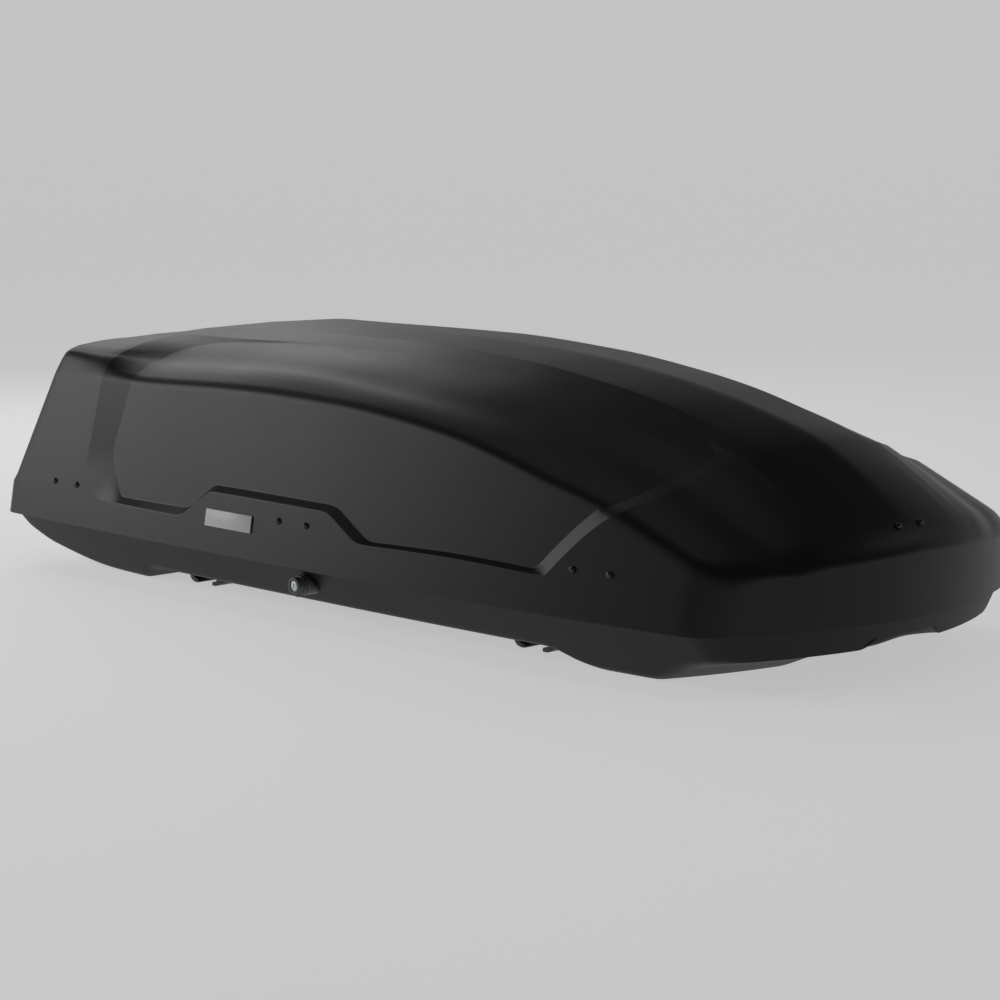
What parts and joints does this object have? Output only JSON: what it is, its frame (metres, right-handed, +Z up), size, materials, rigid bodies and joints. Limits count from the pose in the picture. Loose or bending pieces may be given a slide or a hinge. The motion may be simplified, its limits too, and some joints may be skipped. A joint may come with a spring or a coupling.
{
  "type": "roof cargo box",
  "caption": "Long wedge-nosed hard cargo box for a car roof, with a lid that hinges open to one side, a turning lock knob and crossbar clamps under its tub.",
  "frame": {"origin": "under the middle of the box, at the lowest point of the crossbar clamps", "axes": "+X forward to the pointed nose, +Y to the left, where the lid's hinges are, +Z up"},
  "size_m": [1.9, 0.872, 0.4659],
  "materials": {
    "lid_plastic": "near-black, fine grain, satin",
    "tub_plastic": "near-black, fine grain, matt",
    "trim": "moulded black",
    "knob_plastic": "dark grey, satin",
    "badge_plastic": "pale grey, satin",
    "steel": "zinc plated",
    "black_steel": "black, semi-gloss"
  },
  "bodies": {
    "base": {"base_tub": "tub_plastic", "saddle_right_rear": "trim", "saddle_right_middle": "trim", "saddle_right_front": "trim", "saddle_left_rear": "trim", "saddle_left_middle": "trim", "saddle_left_front": "trim", "escutcheon": "knob_plastic", "lifter_bracket_rear": "black_steel", "lifter_bracket_front": "black_steel", "clamp_housing_right_rear": "trim", "clamp_housing_left_rear": "trim", "clamp_housing_right_front": "trim", "clamp_housing_left_front": "trim"},
    "lid": {"lid_shell": "lid_plastic", "rivet_pair_right_rear": "black_steel", "rivet_pair_right_middle": "black_steel", "rivet_pair_right_front": "black_steel", "rivet_pair_left_rear": "black_steel", "rivet_pair_left_middle": "black_steel", "rivet_pair_left_front": "black_steel", "rivet_pair_nose": "black_steel", "badge_right": "badge_plastic", "badge_left": "badge_plastic", "lid_bracket_right_rear": "black_steel", "lid_bracket_right_middle": "black_steel", "lid_bracket_right_front": "black_steel", "lid_bracket_left_rear": "black_steel", "lid_bracket_left_middle": "black_steel", "lid_bracket_left_front": "black_steel", "pin_right_rear": "steel", "pin_right_middle": "steel", "pin_right_front": "steel", "pin_left_rear": "steel", "pin_left_middle": "steel", "pin_left_front": "steel", "lifter_track_rear": "black_steel", "lifter_track_front": "black_steel"},
    "lifter_arm_rear": {"lifter_arm_rear": "steel", "lifter_roller_rear": "trim"},
    "lifter_arm_front": {"lifter_arm_front": "steel", "lifter_roller_front": "trim"},
    "lock_knob": {"lock_knob": "knob_plastic", "lock_cylinder": "steel"},
    "lock_bar": {"lock_bar": "steel"},
    "clamp_knob_right_rear": {"clamp_knob_right_rear": "knob_plastic"},
    "clamp_jaw_right_rear_fore": {"clamp_jaw_right_rear_fore": "black_steel"},
    "clamp_jaw_right_rear_aft": {"clamp_jaw_right_rear_aft": "black_steel"},
    "clamp_knob_left_rear": {"clamp_knob_left_rear": "knob_plastic"},
    "clamp_jaw_left_rear_fore": {"clamp_jaw_left_rear_fore": "black_steel"},
    "clamp_jaw_left_rear_aft": {"clamp_jaw_left_rear_aft": "black_steel"},
    "clamp_knob_right_front": {"clamp_knob_right_front": "knob_plastic"},
    "clamp_jaw_right_front_fore": {"clamp_jaw_right_front_fore": "black_steel"},
    "clamp_jaw_right_front_aft": {"clamp_jaw_right_front_aft": "black_steel"},
    "clamp_knob_left_front": {"clamp_knob_left_front": "knob_plastic"},
    "clamp_jaw_left_front_fore": {"clamp_jaw_left_front_fore": "black_steel"},
    "clamp_jaw_left_front_aft": {"clamp_jaw_left_front_aft": "black_steel"}
  },
  "joints": [
    {"name": "lid_hinge", "type": "hinge", "parent": "base", "child": "lid", "pos_m": [0, 0.335, 0.106], "axis": [-1, 0, 0], "range_deg": [0, 42]},
    {"name": "lifter_arm_rear_turn", "type": "hinge", "parent": "base", "child": "lifter_arm_rear", "pos_m": [-0.85, 0, 0.106], "axis": [-1, 0, 0], "range_deg": [0, 84]},
    {"name": "lifter_arm_front_turn", "type": "hinge", "parent": "base", "child": "lifter_arm_front", "pos_m": [0.7, 0, 0.106], "axis": [-1, 0, 0], "range_deg": [0, 84]},
    {"name": "lock_knob_turn", "type": "hinge", "parent": "base", "child": "lock_knob", "pos_m": [-0.046, -0.38, 0.066], "axis": [0, -1, 0], "range_deg": [0, 90]},
    {"name": "lock_bar_slide", "type": "slide", "parent": "base", "child": "lock_bar", "axis": [-1, 0, 0], "range_m": [0, 0.016]},
    {"name": "clamp_knob_right_rear_turn", "type": "hinge", "parent": "base", "child": "clamp_knob_right_rear", "pos_m": [-0.434, -0.305, 0.06], "axis": [0, 0, 1], "range_deg": [0, 160]},
    {"name": "clamp_jaw_right_rear_fore_turn", "type": "hinge", "parent": "base", "child": "clamp_jaw_right_rear_fore", "pos_m": [-0.396, -0.305, 0.035], "axis": [0, -1, 0], "range_deg": [0, 32]},
    {"name": "clamp_jaw_right_rear_aft_turn", "type": "hinge", "parent": "base", "child": "clamp_jaw_right_rear_aft", "pos_m": [-0.472, -0.305, 0.035], "axis": [0, 1, 0], "range_deg": [0, 32]},
    {"name": "clamp_knob_left_rear_turn", "type": "hinge", "parent": "base", "child": "clamp_knob_left_rear", "pos_m": [-0.434, 0.305, 0.06], "axis": [0, 0, 1], "range_deg": [0, 160]},
    {"name": "clamp_jaw_left_rear_fore_turn", "type": "hinge", "parent": "base", "child": "clamp_jaw_left_rear_fore", "pos_m": [-0.396, 0.305, 0.035], "axis": [0, -1, 0], "range_deg": [0, 32]},
    {"name": "clamp_jaw_left_rear_aft_turn", "type": "hinge", "parent": "base", "child": "clamp_jaw_left_rear_aft", "pos_m": [-0.472, 0.305, 0.035], "axis": [0, 1, 0], "range_deg": [0, 32]},
    {"name": "clamp_knob_right_front_turn", "type": "hinge", "parent": "base", "child": "clamp_knob_right_front", "pos_m": [0.408, -0.286, 0.06], "axis": [0, 0, 1], "range_deg": [0, 160]},
    {"name": "clamp_jaw_right_front_fore_turn", "type": "hinge", "parent": "base", "child": "clamp_jaw_right_front_fore", "pos_m": [0.446, -0.286, 0.035], "axis": [0, -1, 0], "range_deg": [0, 32]},
    {"name": "clamp_jaw_right_front_aft_turn", "type": "hinge", "parent": "base", "child": "clamp_jaw_right_front_aft", "pos_m": [0.37, -0.286, 0.035], "axis": [0, 1, 0], "range_deg": [0, 32]},
    {"name": "clamp_knob_left_front_turn", "type": "hinge", "parent": "base", "child": "clamp_knob_left_front", "pos_m": [0.408, 0.286, 0.06], "axis": [0, 0, 1], "range_deg": [0, 160]},
    {"name": "clamp_jaw_left_front_fore_turn", "type": "hinge", "parent": "base", "child": "clamp_jaw_left_front_fore", "pos_m": [0.446, 0.286, 0.035], "axis": [0, -1, 0], "range_deg": [0, 32]},
    {"name": "clamp_jaw_left_front_aft_turn", "type": "hinge", "parent": "base", "child": "clamp_jaw_left_front_aft", "pos_m": [0.37, 0.286, 0.035], "axis": [0, 1, 0], "range_deg": [0, 32]}
  ],
  "couplings": [
    {"joint": "lifter_arm_rear_turn", "follows": "lid_hinge", "ratio": 2},
    {"joint": "lifter_arm_front_turn", "follows": "lid_hinge", "ratio": 2},
    {"joint": "lock_knob_turn", "follows": "lock_bar_slide", "rad_per_m": 98.15},
    {"joint": "clamp_jaw_right_rear_fore_turn", "follows": "clamp_knob_right_rear_turn", "ratio": 0.2},
    {"joint": "clamp_jaw_right_rear_aft_turn", "follows": "clamp_knob_right_rear_turn", "ratio": 0.2},
    {"joint": "clamp_jaw_left_rear_fore_turn", "follows": "clamp_knob_left_rear_turn", "ratio": 0.2},
    {"joint": "clamp_jaw_left_rear_aft_turn", "follows": "clamp_knob_left_rear_turn", "ratio": 0.2},
    {"joint": "clamp_jaw_right_front_fore_turn", "follows": "clamp_knob_right_front_turn", "ratio": 0.2},
    {"joint": "clamp_jaw_right_front_aft_turn", "follows": "clamp_knob_right_front_turn", "ratio": 0.2},
    {"joint": "clamp_jaw_left_front_fore_turn", "follows": "clamp_knob_left_front_turn", "ratio": 0.2},
    {"joint": "clamp_jaw_left_front_aft_turn", "follows": "clamp_knob_left_front_turn", "ratio": 0.2}
  ]
}
